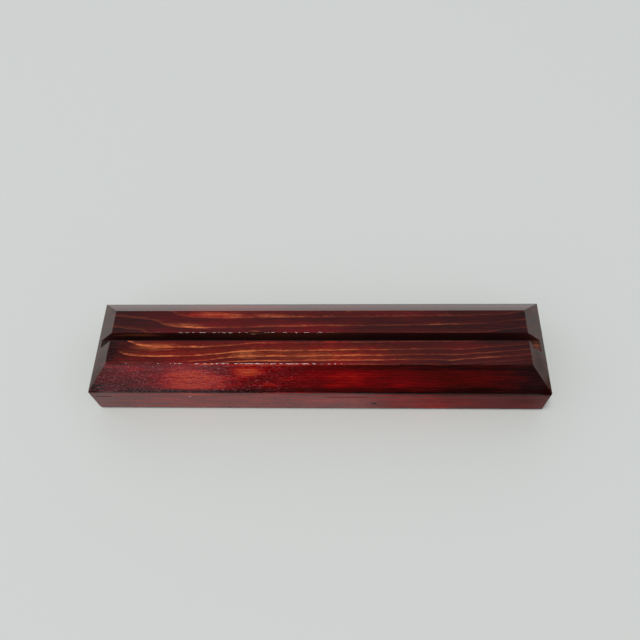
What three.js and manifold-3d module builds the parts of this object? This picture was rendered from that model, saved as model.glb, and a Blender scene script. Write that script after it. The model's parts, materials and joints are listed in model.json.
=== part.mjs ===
// Wooden display base: a bar glued up from two boards, bevelled round its top, with a slot
// along the top face for the lower edge of an upright sheet, and stick-on rubber feet below.
// Millimetres, +Z up, +X along the bar, front towards -Y. The origin lies under the bar's
// centre, on the surface that the feet stand on.
import * as THREE from 'three';
import { mergeVertices } from 'three/addons/utils/BufferGeometryUtils.js';
import Module from 'manifold-3d';

// The two boards and the glue between them
const BASE_LENGTH = 250;
const BASE_WIDTH = 56;
const TOP_BOARD_THICKNESS = 17.25;
const PLINTH_BOARD_THICKNESS = 15.5;
const GLUE_THICKNESS = 0.25;

// Bevel along all four top edges: run is measured across the top, drop down the side
const BEVEL_RUN = 11.5;
const BEVEL_DROP = 12;

// Slot for the sheet, sawn from end to end
const SLOT_WIDTH = 5;
const SLOT_DEPTH = 8.7;

// Rubber feet and the adhesive discs that hold them
const FOOT_DIAMETER = 12;
const FOOT_THICKNESS = 1;
const FOOT_RIM_RADIUS = 0.3;
const FOOT_MARGIN = 6;
const ADHESIVE_THICKNESS = 0.25;
const ADHESIVE_SETBACK = 0.4;
const FOOT_SIDES = 48;
const FOOT_RIM_STEPS = 3;

// Share of an end bevel by which the saw cut runs on past both of its edges
const SAW_OVERRUN = 0.1;

const GLUE_JOINT_HEIGHT = FOOT_THICKNESS + ADHESIVE_THICKNESS + PLINTH_BOARD_THICKNESS;

const wasm = await Module();
wasm.setup();

const stainedPine = new THREE.MeshStandardMaterial({ color: 0x5a1f18, roughness: 0.22, metalness: 0 });
const woodGlue = new THREE.MeshStandardMaterial({ color: 0x3d1a10, roughness: 0.45, metalness: 0 });
const rubber = new THREE.MeshStandardMaterial({ color: 0x1d1b1a, roughness: 0.8, metalness: 0 });
const tapeAdhesive = new THREE.MeshStandardMaterial({ color: 0xc9c3b4, roughness: 0.55, metalness: 0 });

function toSolid(geometry) {
  const bare = geometry.clone();
  bare.deleteAttribute('normal');
  bare.deleteAttribute('uv');
  const welded = mergeVertices(bare);
  return new wasm.Manifold(new wasm.Mesh({
    numProp: 3,
    vertProperties: new Float32Array(welded.attributes.position.array),
    triVerts: new Uint32Array(welded.index.array),
  }));
}

function toGeometry(solid) {
  const mesh = solid.getMesh();
  const geometry = new THREE.BufferGeometry();
  geometry.setAttribute('position', new THREE.BufferAttribute(mesh.vertProperties, 3));
  geometry.setIndex(new THREE.BufferAttribute(mesh.triVerts, 1));
  geometry.computeVertexNormals();
  return geometry;
}

function outline(points) {
  return new THREE.Shape(points.map(([across, up]) => new THREE.Vector2(across, up)));
}

// A section drawn in Y and Z, drawn out along X
function mouldAlongX(section, length) {
  const axes = new THREE.Matrix4().makeBasis(
    new THREE.Vector3(0, 1, 0),
    new THREE.Vector3(0, 0, 1),
    new THREE.Vector3(1, 0, 0),
  );
  return new THREE.ExtrudeGeometry(section, { depth: length, bevelEnabled: false })
    .translate(0, 0, -length / 2)
    .applyMatrix4(axes);
}

// A profile drawn in X and Z, drawn out along Y
function cutAlongY(profile, width) {
  const axes = new THREE.Matrix4().makeBasis(
    new THREE.Vector3(1, 0, 0),
    new THREE.Vector3(0, 0, 1),
    new THREE.Vector3(0, -1, 0),
  );
  return new THREE.ExtrudeGeometry(profile, { depth: width, bevelEnabled: false })
    .translate(0, 0, -width / 2)
    .applyMatrix4(axes);
}

// Half of the top board's section runs from the slot's floor to the underside; the other mirrors it
function topBoardSection() {
  const slotSide = SLOT_WIDTH / 2;
  const side = BASE_WIDTH / 2;
  const half = [
    [slotSide, TOP_BOARD_THICKNESS - SLOT_DEPTH],
    [slotSide, TOP_BOARD_THICKNESS],
    [side - BEVEL_RUN, TOP_BOARD_THICKNESS],
    [side, TOP_BOARD_THICKNESS - BEVEL_DROP],
    [side, 0],
  ];
  const mirrored = half.map(([across, up]) => [-across, up]).reverse();
  return outline([...half, ...mirrored]);
}

// The wedge that is sawn off one end of the top board to make its end bevel
function endOffcut(end) {
  const spareRun = SAW_OVERRUN * BEVEL_RUN;
  const spareDrop = SAW_OVERRUN * BEVEL_DROP;
  const inner = BASE_LENGTH / 2 - BEVEL_RUN - spareRun;
  const outer = BASE_LENGTH / 2 + spareRun;
  const upper = TOP_BOARD_THICKNESS + spareDrop;
  const lower = TOP_BOARD_THICKNESS - BEVEL_DROP - spareDrop;
  const wedge = outline([[end * inner, upper], [end * outer, lower], [end * outer, upper]]);
  return cutAlongY(wedge, BASE_WIDTH + 2 * spareRun);
}

function slottedTopBoard() {
  const moulding = toSolid(mouldAlongX(topBoardSection(), BASE_LENGTH));
  const bevelled = moulding.subtract(toSolid(endOffcut(-1))).subtract(toSolid(endOffcut(1)));
  return new THREE.Mesh(toGeometry(bevelled), stainedPine);
}

// A flat piece as long and wide as the bar, standing up from its own z = 0 or hanging below it
function fullSizeLayer(thickness, direction, material) {
  const layer = new THREE.BoxGeometry(BASE_LENGTH, BASE_WIDTH, thickness);
  layer.translate(0, 0, direction * thickness / 2);
  return new THREE.Mesh(layer, material);
}

function buildBoards() {
  const boards = new THREE.Group();
  boards.position.z = GLUE_JOINT_HEIGHT;

  const plinth = fullSizeLayer(PLINTH_BOARD_THICKNESS, -1, stainedPine);
  plinth.name = 'plinth_board';

  const glue = fullSizeLayer(GLUE_THICKNESS, 1, woodGlue);
  glue.name = 'glue_line';

  const top = slottedTopBoard();
  top.name = 'slotted_top_board';
  top.position.z = GLUE_THICKNESS;

  boards.add(plinth, glue, top);
  return boards;
}

// A die-cut disc with its lower rim rounded over; it hangs below its own z = 0
function footDisc() {
  const radius = FOOT_DIAMETER / 2;
  const profile = new THREE.Path();
  profile.moveTo(0, -FOOT_THICKNESS);
  profile.lineTo(radius - FOOT_RIM_RADIUS, -FOOT_THICKNESS);
  profile.absarc(radius - FOOT_RIM_RADIUS, -FOOT_THICKNESS + FOOT_RIM_RADIUS,
    FOOT_RIM_RADIUS, -Math.PI / 2, 0, false);
  profile.lineTo(radius, 0);
  profile.lineTo(0, 0);
  return new THREE.LatheGeometry(profile.getPoints(FOOT_RIM_STEPS), FOOT_SIDES).rotateX(Math.PI / 2);
}

function adhesiveDisc() {
  const radius = FOOT_DIAMETER / 2 - ADHESIVE_SETBACK;
  return new THREE.CylinderGeometry(radius, radius, ADHESIVE_THICKNESS, FOOT_SIDES)
    .rotateX(Math.PI / 2)
    .translate(0, 0, ADHESIVE_THICKNESS / 2);
}

// One foot under each corner, a margin in from both edges of the plinth
function buildFeet() {
  const feet = new THREE.Group();
  feet.position.z = FOOT_THICKNESS;
  const reach = FOOT_MARGIN + FOOT_DIAMETER / 2;
  const rows = { front: -1, rear: 1 };
  const sides = { left: -1, right: 1 };
  for (const [row, alongY] of Object.entries(rows)) {
    for (const [side, alongX] of Object.entries(sides)) {
      const corner = new THREE.Group();
      corner.position.set(alongX * (BASE_LENGTH / 2 - reach), alongY * (BASE_WIDTH / 2 - reach), 0);
      const disc = new THREE.Mesh(footDisc(), rubber);
      disc.name = `foot_${row}_${side}`;
      const adhesive = new THREE.Mesh(adhesiveDisc(), tapeAdhesive);
      adhesive.name = `foot_adhesive_${row}_${side}`;
      corner.add(disc, adhesive);
      feet.add(corner);
    }
  }
  return feet;
}

const displayBase = new THREE.Group();
displayBase.name = 'display_base';
displayBase.add(buildBoards(), buildFeet());

export default displayBase;
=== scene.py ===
"""Dresses the wooden display base: two stained and lacquered pine boards with an eased arris on
every edge, the glue between them, and four stick-on rubber feet, on a pale floor in soft light.
Lengths are metres. Patterns are worked out in millimetres of the piece's own coordinates."""

import json
import math
from contextlib import contextmanager

import bmesh
import bpy
from bpy.props import FloatProperty, FloatVectorProperty, IntProperty, PointerProperty
from mathutils import Matrix, Vector


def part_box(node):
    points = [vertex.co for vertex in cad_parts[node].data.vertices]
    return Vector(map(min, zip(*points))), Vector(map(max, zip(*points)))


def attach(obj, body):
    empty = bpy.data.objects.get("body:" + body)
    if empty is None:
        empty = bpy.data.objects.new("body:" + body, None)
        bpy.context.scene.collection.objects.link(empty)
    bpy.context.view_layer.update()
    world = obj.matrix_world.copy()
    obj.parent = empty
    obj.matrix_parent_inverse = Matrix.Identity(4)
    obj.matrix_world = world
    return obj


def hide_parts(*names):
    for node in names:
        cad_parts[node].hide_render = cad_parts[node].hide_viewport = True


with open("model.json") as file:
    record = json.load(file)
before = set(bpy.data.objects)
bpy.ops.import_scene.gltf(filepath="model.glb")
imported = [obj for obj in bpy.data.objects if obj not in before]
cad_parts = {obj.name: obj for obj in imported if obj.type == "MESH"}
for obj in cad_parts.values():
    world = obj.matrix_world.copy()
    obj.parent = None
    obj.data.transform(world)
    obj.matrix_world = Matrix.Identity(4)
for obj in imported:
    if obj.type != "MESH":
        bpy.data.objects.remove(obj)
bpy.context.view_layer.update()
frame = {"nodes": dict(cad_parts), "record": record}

bl_info = {
    "name": "Wooden display base",
    "version": (1, 0, 0),
    "blender": (4, 5, 0),
    "location": "3D View > Sidebar > Display base",
    "description": "Builds a slotted display base of stained and lacquered pine over its CAD frame",
    "category": "Object",
}

BODY = "root"
MM = 0.001
CUT_TOLERANCE = 0.001 * MM
# Points closer together than this count as level with each other
LEVEL_TOLERANCE = 0.01 * MM
# Edges whose faces turn by more than this are arrises on a board, or rims on a round piece
ARRIS_ANGLE = math.radians(20)
RIM_ANGLE = math.radians(35)
# Sanding leaves flats along an arris that meet at a steeper angle than this
FACET_ANGLE = math.radians(9)
# A face is one of those flats when one of its corners lies within this many easings of its middle
FACET_REACH = 1.5
# A face looks a given way when its normal's share in that way is more than this
LOOKS_THAT_WAY = 0.9
# A face is cut across the fibres when its normal's share along them is more than this
ACROSS_FIBRES = 0.5

# The photograph's camera: it looks at this point on the floor from this direction and distance
VIEW_TARGET = Vector((-0.0001906, 0.030146, 0.0))
VIEW_DISTANCE = 0.395169
VIEW_AZIMUTH = math.radians(5.0135)
VIEW_ELEVATION = math.radians(60.0236)
VIEW_ROLL = math.radians(-4.4196)
VIEW_FOCAL_PIXELS = 645.44
IMAGE_PIXELS = 640
SENSOR_MM = 36.0


def to_linear(colour):
    """An sRGB hex colour as linear red, green, blue and alpha."""
    shares = [int(colour[i:i + 2], 16) / 255 for i in (1, 3, 5)]
    return [s / 12.92 if s <= 0.04045 else ((s + 0.055) / 1.055) ** 2.4 for s in shares] + [1.0]


def colour_property(name, description, colour):
    """A colour that the panel shows as a swatch."""
    return FloatVectorProperty(
        name=name, description=description, subtype="COLOR", size=4, min=0.0, max=1.0,
        default=to_linear(colour))


def length_property(name, description, millimetres):
    """A length that the panel shows in the scene's unit."""
    return FloatProperty(
        name=name, description=description, unit="LENGTH", precision=5, min=0.0,
        default=millimetres * MM)


class BoardSettings(bpy.types.PropertyGroup):
    """How the two boards are worked and finished."""

    arris_ease: length_property("Arris ease", "How far sanding takes an arris back on both faces", 0.25)
    slot_ease: length_property("Slot ease", "The same for the slot's arrises", 0.12)
    arris_wander: length_property("Arris wander", "How unevenly the arrises were sanded", 0.19)
    slot_wander: length_property("Slot wander", "The same for the slot's arrises", 0.1)
    joint_opening: length_property("Joint opening", "How far the glue joint's open edges are worn", 0.4)
    station_pitch: length_property("Station pitch", "Spacing of the mesh's cuts along the bar", 0.6)
    deep_stain: colour_property("Deep stain", "Wood that drank the most stain", "#1e0504")
    full_stain: colour_property("Full stain", "Earlywood between the rings", "#4c0907")
    clear_stain: colour_property("Clear stain", "Earlywood with the stain wiped thin", "#6f060a")
    bright_stain: colour_property("Bright stain", "Earlywood with just a tint of stain", "#940c0c")
    thin_stain: colour_property("Thin stain", "Earlywood where hardly any stain was left", "#d24e28")
    latewood: colour_property("Latewood", "Hard ring lines that took little stain", "#db7442")
    end_grain: colour_property("End grain", "Open pores, which drink the most stain", "#3c1d12")
    bare_fibre: colour_property("Bare fibre", "Torn wood where the stain chipped off", "#7e4c3c")
    knot_bark: colour_property("Knot bark", "Bark and resin in the pin knot's hole", "#0c0504")
    # This colour also paints glints of light in the lacquer's specks and nibs.
    dust: colour_property("Dust", "Specks of dust that set in the lacquer", "#c47c80")
    glue: colour_property("Glue", "Cured glue, stained over", "#3d1a10")
    bead: colour_property("Glue bead", "Glue that squeezed out after staining", "#c8b0a6")


class FootSettings(bpy.types.PropertyGroup):
    """How the stick-on feet are made."""

    sides: IntProperty(name="Sides", description="Corners of each disc", default=64, min=16)
    rim_radius: length_property("Rim radius", "Rounding of the lower rim", 0.3)
    upper_rim_radius: length_property("Upper rim radius", "Rounding of the upper rim", 0.075)
    waist: FloatProperty(
        name="Waist", description="How far the die's pressure drew the side in", subtype="FACTOR",
        default=0.985, min=0.9, max=1.0)
    waist_height: FloatProperty(
        name="Waist height", description="Where the side is narrowest, as a share of its height",
        subtype="FACTOR", default=0.62, min=0.4, max=0.9)
    squeeze: FloatProperty(
        name="Squeeze", description="How far the adhesive bulges out under load", subtype="FACTOR",
        default=1.012, min=1.0, max=1.05)
    rubber: colour_property("Rubber", "Die-cut foot", "#1d1b1a")
    rubber_bloom: colour_property("Rubber bloom", "Dust and wax on the rubber", "#34312f")
    adhesive: colour_property("Adhesive", "Double-sided film above the foot", "#c9c3b4")
    adhesive_bubble: colour_property("Adhesive bubble", "Trapped air in the film", "#e2ddd0")


class StageSettings(bpy.types.PropertyGroup):
    """The floor and the light."""

    floor: colour_property("Floor", "Plain pale floor", "#e5e8e1")
    floor_size: length_property("Floor size", "Side of the square floor", 8000)
    room: colour_property("Room", "Tint of the light from the walls and the ceiling", "#f3f4ff")
    backdrop: colour_property("Backdrop", "What the camera sees past the floor", "#cfd1ce")
    lamp_radiance: FloatProperty(
        name="Lamp", description="Brightness of the ceiling lamp's face", default=20.6, min=0.0)
    wall_level: FloatProperty(
        name="Walls", description="Brightness of the room near the horizon", default=0.62, min=0.0)
    ceiling_level: FloatProperty(
        name="Ceiling", description="Brightness of the room overhead", default=0.29, min=0.0)
    shade_level: FloatProperty(
        name="Shade", description="Brightness of the dark flag in front", default=0.03, min=0.0)


class DisplayBaseSettings(bpy.types.PropertyGroup):
    """All of the display base's settings."""

    boards: PointerProperty(type=BoardSettings)
    feet: PointerProperty(type=FootSettings)
    stage: PointerProperty(type=StageSettings)


def find_socket(sockets, key):
    """A node's socket by its number, or by name among those that the node's settings leave on."""
    if isinstance(key, int):
        return sockets[key]
    return next(socket for socket in sockets if socket.enabled and socket.name == key)


def set_inputs(node, inputs):
    """Gives each input a value, a socket to read, or a node, which stands for its first output."""
    for key, value in inputs.items():
        socket = find_socket(node.inputs, key)
        if isinstance(value, bpy.types.Node):
            value = next(output for output in value.outputs if output.enabled)
        if isinstance(value, bpy.types.NodeSocket):
            node.id_data.links.new(value, socket)
        else:
            socket.default_value = value


def add_node(tree, kind, inputs=None, points=None, stops=None, **settings):
    """Adds a node with its settings and links. Points are a curve's, and stops a colour ramp's."""
    node = tree.nodes.new("ShaderNode" + kind)
    for name, value in settings.items():
        setattr(node, name, value)
    set_inputs(node, inputs or {})
    if points:
        curve = node.mapping.curves[0]
        curve.points[0].location = points[0]
        curve.points[-1].location = points[-1]
        for point in points[1:-1]:
            curve.points.new(*point)
        node.mapping.update()
    if stops:
        ramp = node.color_ramp.elements
        ramp[0].position, ramp[0].color = stops[0]
        ramp[1].position, ramp[1].color = stops[-1]
        for position, colour in stops[1:-1]:
            ramp.new(position).color = colour
    return node


def limits(source, target=(0.0, 1.0)):
    """The inputs that turn one range into another."""
    return {"From Min": source[0], "From Max": source[1], "To Min": target[0], "To Max": target[1]}


def new_material(name):
    """An empty material: (material, node tree, its Principled shader)."""
    material = bpy.data.materials.new(name)
    material.use_nodes = True
    return material, material.node_tree, material.node_tree.nodes["Principled BSDF"]


def deselect_all():
    """Leaves no object selected."""
    bpy.ops.object.select_all(action="DESELECT")


def make_active(piece):
    """Selects this piece alone."""
    deselect_all()
    piece.select_set(True)
    bpy.context.view_layer.objects.active = piece


@contextmanager
def editing(piece):
    """Keeps one piece in edit mode."""
    make_active(piece)
    bpy.ops.object.mode_set(mode="EDIT")
    yield
    bpy.ops.object.mode_set(mode="OBJECT")


def name_piece(piece, name):
    """Names a piece and its mesh alike."""
    piece.name = name
    piece.data.name = name


def add_block(name, low, high):
    """A box between two corners."""
    deselect_all()
    bpy.ops.mesh.primitive_cube_add(size=1.0, location=(low + high) / 2, scale=high - low)
    block = bpy.context.active_object
    name_piece(block, name)
    bpy.ops.object.transform_apply(location=True, rotation=False, scale=True)
    return block


def add_lump(centre, half, slope=0.0):
    """A rounded lump: its centre and half sizes in mm, and its slope along the bar in degrees."""
    deselect_all()
    bpy.ops.mesh.primitive_ico_sphere_add(
        subdivisions=3, radius=1.0, location=Vector(centre) * MM, rotation=(0, math.radians(slope), 0),
        scale=Vector(half) * MM)
    lump = bpy.context.active_object
    bpy.ops.object.transform_apply(location=True, rotation=True, scale=True)
    return lump


def cut(point, normal, keep_all=True):
    """In edit mode, cuts the whole mesh along a plane, and can take off what lies beyond it."""
    bpy.ops.mesh.select_all(action="SELECT")
    bpy.ops.mesh.bisect(
        plane_co=point, plane_no=Vector(normal).normalized(), use_fill=not keep_all,
        clear_outer=not keep_all, threshold=CUT_TOLERANCE)


def cut_stations(low, high, pitch):
    """In edit mode, cuts the whole mesh across at even steps along the bar."""
    count = round((high.x - low.x) / pitch)
    for station in range(1, count):
        cut((low.x + (high.x - low.x) * station / count, 0, 0), (1, 0, 0))


def select_edges(piece, test):
    """In edit mode, selects just the edges that pass the test."""
    bpy.ops.mesh.select_mode(type="EDGE")
    bpy.ops.mesh.select_all(action="DESELECT")
    mesh = bmesh.from_edit_mesh(piece.data)
    for edge in mesh.edges:
        if test(edge):
            edge.select_set(True)
    bmesh.update_edit_mesh(piece.data)


def select_points(piece, test):
    """In edit mode, selects just the points that pass the test."""
    mesh = bmesh.from_edit_mesh(piece.data)
    passed = [vertex.index for vertex in mesh.verts if test(vertex)]
    bpy.ops.mesh.select_mode(type="VERT")
    bpy.ops.mesh.select_all(action="DESELECT")
    mesh = bmesh.from_edit_mesh(piece.data)
    mesh.verts.ensure_lookup_table()
    for i in passed:
        mesh.verts[i].select_set(True)
    bmesh.update_edit_mesh(piece.data)


def is_arris(edge):
    """True for an edge where two faces meet at an outside corner."""
    return len(edge.link_faces) == 2 and edge.calc_face_angle_signed() > ARRIS_ANGLE


def is_inside(vertex):
    """True for a point that has selected faces all round."""
    return bool(vertex.link_faces) and all(face.select for face in vertex.link_faces)


def apply_modifier(piece, kind, **settings):
    """Adds one modifier with its settings and applies it."""
    make_active(piece)
    bpy.ops.object.modifier_add(type=kind)
    modifier = piece.modifiers[-1]
    for name, value in settings.items():
        setattr(modifier, name, value)
    bpy.ops.object.modifier_apply(modifier=modifier.name)


def roughen(piece, name, grain, depth, directions=("NORMAL",), group=""):
    """Moves a piece's points in and out by a cloudy pattern of the given grain."""
    clouds = bpy.data.textures.new(name, "CLOUDS")
    clouds.noise_scale = grain
    for direction in directions:
        apply_modifier(piece, "DISPLACE", texture=clouds, texture_coords="LOCAL", direction=direction,
                       strength=depth, vertex_group=group)


def subtract(piece, cutter):
    """Cuts a piece out of another and throws it away."""
    apply_modifier(piece, "BOOLEAN", object=cutter, operation="DIFFERENCE", solver="EXACT",
                   material_mode="TRANSFER")
    bpy.data.objects.remove(cutter)


def smooth_rims(piece):
    """Smooths a round piece and keeps its flat faces flat."""
    make_active(piece)
    bpy.ops.object.shade_smooth_by_angle(angle=RIM_ANGLE)
    apply_modifier(piece, "WEIGHTED_NORMAL", keep_sharp=True, weight=80)


def finish_piece(piece, node):
    """Puts a piece in the frame in place of its CAD node."""
    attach(piece, BODY)
    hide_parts(node)


# The figure of each board: where its pith runs (Y and Z in mm) and what sets it apart from others
TOP_BOARD_PITH = (15.5, 37.75)
TOP_BOARD_SEED = 3.0
PLINTH_PITH = (-9.0, -14.0)
PLINTH_SEED = 11.0
# Patterns of the wood: sizes along, across and through the fibre in mm, layers of detail and how rough
# those are. Real fibres, pores and nibs of dust are mostly too fine to show at this distance, so they
# are drawn coarser. The nibs' pale colour is also painted glints of light in the lacquer.
FIBRE = ((18, 0.9, 0.9), 4.0, 0.6)
PORES = ((3.6, 0.8, 0.8), 3.0, 0.65)
STAIN_BLOTCHES = ((30, 9, 9), 3.0, 0.5)
RING_WANDER = ((40, 16, 16), 3.0, 0.45)
RING_RIPPLE = ((7, 2.5, 2.5), 2.0, 0.5)
BRUSHING = ((5, 1.1, 1.1), 1.0, 0.5)
NIBS_AND_GLINTS = ((1.7, 0.8, 0.8), 2.0, 0.6)
SPECK_SPACING_MM = 1.2
# Most of a pattern's values lie in this range
PATTERN_RANGE = (0.3, 0.7)
# The top face ends and the bevels have begun between these heights in mm
TOP_FACE_END_MM = (34.0, 33.4)
# Ring number against distance from the pith in mm: wide rings near it, then narrow ones. A ring's
# line lies at the end of its year, so that each of the first rings' lines falls at a whole number.
RING_GROWTH = ((0.0, 0.0), (4.3, 1.0), (8.9, 2.0), (13.95, 3.0), (19.0, 4.0), (23.6, 5.0), (26.9, 6.0),
               (29.8, 7.0), (32.4, 8.0), (38.0, 12.0), (80.0, 44.0))
RING_SPAN_MM = RING_GROWTH[-1][0]
RING_COUNT = RING_GROWTH[-1][1]
RING_WANDER_MM = 0.9
RING_RIPPLE_MM = 0.7
# When in its year a ring's latewood starts, against distance from the pith in mm, when it is at its
# fullest, when the winter's line ends it, and how far pores tear it
LATEWOOD_START = ((0.0, 0.86), (4.6, 0.86), (9.0, 0.74), (23.0, 0.76), (31.0, 0.55), (80.0, 0.55))
LATEWOOD_FULL = 0.95
WINTER = (0.96, 1.0)
LATEWOOD_TEARING = (-0.045, 0.045)
# A ring's line comes and goes along the bar in stretches of about this length, which differ from year
# to year, and the lines of crowded rings far from the pith hardly show
LINE_STRETCH_MM = 12.0
YEAR_STRIDE = 5.37
LINE_SHOWS = ((0.35, 0.6), (0.5, 1.1))
LINE_CROWDED = ((30.5, 34.0), (1.0, 0.08))
# Along the bar the pith drifts backwards in mm, and the rings swell by a share of their size
FIGURE_REACH_MM = 150.0
FIGURE_SLANT = -1.15
PITH_DRIFT = ((-150, 9.5), (-104, 5.0), (-74, 0.0), (70, 0.0), (96, 3.6), (150, 9.5))
PITH_DRIFT_MM = 9.5
RING_SWELL = ((-150, 0.18), (-104, 0.2), (-74, 0.19), (-44, 0.11), (-12, 0.0), (70, 0.0), (96, 0.1),
              (150, 0.14))
RING_SWELL_SHARE = 0.2
# The stain was wiped off a stretch of the bar that is longer at its front: how much was taken off, from
# none at 0 to most at 1, against a place along the bar in mm that slants across it. Where it falls off
# towards the right end it is partly painted shade: the soft shadow over the bar's right part, painted as
# less wiped, darker wood.
WIPED_FROM = ((-150, 0.0), (-125, 0.15), (-105, 0.35), (-84, 0.85), (-66, 1.0), (150, 1.0))
WIPED_FROM_SLANT = -1.3
WIPED_TO_AND_SHADE = ((-150, 1.0), (0, 1.0), (14, 0.9), (34, 0.5), (56, 0.38), (92, 0.32), (120, 0.1), (150, 0.0))
WIPED_TO_AND_SHADE_SLANT = 1.7


def unit_points(points, low, high, span):
    """A curve's points, squeezed into the unit square that a curve node takes."""
    return [((x - low) / (high - low), y / span) for x, y in points]


def curve_along_bar(tree, figure, points, slant, span):
    """A curve's height, as a share of its span, at a place along the bar that slants across it."""
    slanted = add_node(tree, "Math", {0: figure["Y"], 1: slant, 2: figure["X"]}, operation="MULTIPLY_ADD")
    share = add_node(tree, "MapRange", {
        "Value": slanted, **limits((-FIGURE_REACH_MM, FIGURE_REACH_MM))})
    return add_node(tree, "FloatCurve", {"Value": share}, points=unit_points(
        points, -FIGURE_REACH_MM, FIGURE_REACH_MM, span))


def grain_pattern(tree, place, pattern, shift=(0, 0, 0)):
    """One of the wood's cloudy patterns, at a point's place in mm."""
    size, detail, roughness = pattern
    cells = add_node(tree, "Mapping", {
        "Vector": place, "Location": shift, "Scale": [1 / length for length in size]})
    return add_node(tree, "TexNoise", {
        "Vector": cells, "Scale": 1.0, "Detail": detail, "Roughness": roughness})


def pine_grain(tree, seed):
    """What every face of a board has, as nodes: a point's place in mm, how far it has left the top
    face, the fibre, the pores and the blotches of stain."""
    coordinates = add_node(tree, "TexCoord")
    place = add_node(tree, "VectorMath", {0: coordinates.outputs["Object"], "Scale": 1 / MM},
                     operation="SCALE")
    axes = add_node(tree, "SeparateXYZ", {0: place}).outputs
    grain = {"place": place, "X": axes["X"], "Y": axes["Y"], "Z": axes["Z"]}
    grain["below_top"] = add_node(tree, "MapRange", {"Value": grain["Z"], **limits(TOP_FACE_END_MM)})
    grain["fibre"] = grain_pattern(tree, place, FIBRE, (seed, 0, 0))
    grain["pores"] = grain_pattern(tree, place, PORES, (0, seed, 0))
    grain["stain"] = grain_pattern(tree, place, STAIN_BLOTCHES, (seed, seed, 0))
    return grain


def latewood_line(tree, grain, seed, radius, growth, rings, season):
    """How clearly the line at the end of a ring's year shows."""
    start = add_node(tree, "FloatCurve", {"Value": growth}, points=unit_points(
        LATEWOOD_START, 0.0, RING_SPAN_MM, 1.0))
    tearing = add_node(tree, "MapRange", {
        "Value": grain["pores"], **limits(PATTERN_RANGE, LATEWOOD_TEARING)})
    torn_season = add_node(tree, "Math", {0: season, 1: tearing}, operation="ADD")
    thickening = add_node(tree, "MapRange", {"Value": torn_season, **limits((start, LATEWOOD_FULL))},
                          interpolation_type="SMOOTHSTEP")
    ending = add_node(tree, "MapRange", {"Value": season, **limits(WINTER, (1.0, 0.0))},
                      interpolation_type="SMOOTHSTEP")
    line = add_node(tree, "Math", {0: thickening, 1: ending}, operation="MULTIPLY")
    year = add_node(tree, "Math", {0: rings}, operation="FLOOR")
    lengthwise = add_node(tree, "Math", {0: grain["X"], 1: 1 / LINE_STRETCH_MM}, operation="MULTIPLY")
    own_year = add_node(tree, "Math", {0: year, 1: YEAR_STRIDE}, operation="MULTIPLY")
    year_place = add_node(tree, "CombineXYZ", {"X": lengthwise, "Y": own_year, "Z": seed})
    stretches = add_node(tree, "TexNoise", {
        "Vector": year_place, "Scale": 1.0, "Detail": 3.0, "Roughness": 0.6})
    showing = add_node(tree, "MapRange", {"Value": stretches, **limits(*LINE_SHOWS)},
                       interpolation_type="SMOOTHSTEP")
    crowding = add_node(tree, "MapRange", {"Value": radius, **limits(*LINE_CROWDED)})
    contrast = add_node(tree, "Math", {0: showing, 1: crowding}, operation="MULTIPLY")
    return add_node(tree, "Math", {0: line, 1: contrast}, operation="MULTIPLY")


def pine_figure(tree, pith, seed):
    """The grain with a flat-sawn board's year rings: how far into its year a point's wood grew, and
    its ring's line."""
    grain = pine_grain(tree, seed)
    drift = curve_along_bar(tree, grain, PITH_DRIFT, FIGURE_SLANT, PITH_DRIFT_MM)
    swell = curve_along_bar(tree, grain, RING_SWELL, FIGURE_SLANT, RING_SWELL_SHARE)
    pith_line = add_node(tree, "Math", {0: drift, 1: PITH_DRIFT_MM, 2: pith[0]}, operation="MULTIPLY_ADD")
    across = add_node(tree, "Math", {0: grain["Y"], 1: pith_line}, operation="SUBTRACT")
    below = add_node(tree, "Math", {0: grain["Z"], 1: pith[1]}, operation="SUBTRACT")
    from_pith = add_node(tree, "CombineXYZ", {"Y": across, "Z": below})
    distance = add_node(tree, "VectorMath", {0: from_pith}, operation="LENGTH")
    stretch = add_node(tree, "Math", {0: swell, 1: RING_SWELL_SHARE, 2: 1.0}, operation="MULTIPLY_ADD")
    radius = add_node(tree, "Math", {0: distance, 1: stretch}, operation="DIVIDE")
    wander = grain_pattern(tree, grain["place"], RING_WANDER, (seed, 0, 0))
    ripple = grain_pattern(tree, grain["place"], RING_RIPPLE, (0, 0, seed))
    for waves, height in ((wander, RING_WANDER_MM), (ripple, RING_RIPPLE_MM)):
        radius = add_node(tree, "Math", {0: waves, 1: height, 2: radius}, operation="MULTIPLY_ADD")
    ring_offset = (RING_WANDER_MM + RING_RIPPLE_MM) / 2
    growth = add_node(tree, "MapRange", {
        "Value": radius, **limits((ring_offset, RING_SPAN_MM + ring_offset))})
    ring_share = add_node(tree, "FloatCurve", {"Value": growth}, points=unit_points(
        RING_GROWTH, 0.0, RING_SPAN_MM, RING_COUNT))
    rings = add_node(tree, "Math", {0: ring_share, 1: RING_COUNT}, operation="MULTIPLY")
    season = add_node(tree, "Math", {0: rings}, operation="FRACT")
    line = latewood_line(tree, grain, seed, radius, growth, rings, season)
    return {**grain, "season": season, "line": line}


# A patch is whole out to this share of its reach, and its edge wavers along the fibre by this share
PATCH_CORE = 0.15
PATCH_WAVER = 0.4
SOFT_PATCH_WAVER = 0.1


def add_patches(tree, figure, patches, amount, waver=PATCH_WAVER):
    """Adds patches to an amount. Each gives its centre, its reach and its change there, and fades out
    in streaks along the fibre."""
    streak = add_node(tree, "MapRange", {
        "Value": figure["fibre"], **limits(PATTERN_RANGE, (-waver, waver))})
    for centre, reach, change in patches:
        offset = add_node(tree, "VectorMath", {0: figure["place"], 1: centre}, operation="SUBTRACT")
        scaled = add_node(tree, "VectorMath", {0: offset, 1: reach}, operation="DIVIDE")
        distance = add_node(tree, "VectorMath", {0: scaled}, operation="LENGTH")
        reached = add_node(tree, "Math", {0: distance, 1: streak}, operation="ADD")
        patch = add_node(tree, "MapRange", {
            "Value": reached, **limits((PATCH_CORE, 1.0), (change, 0.0))}, interpolation_type="SMOOTHSTEP")
        amount = add_node(tree, "Math", {0: amount, 1: patch}, operation="ADD")
    return amount


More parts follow.
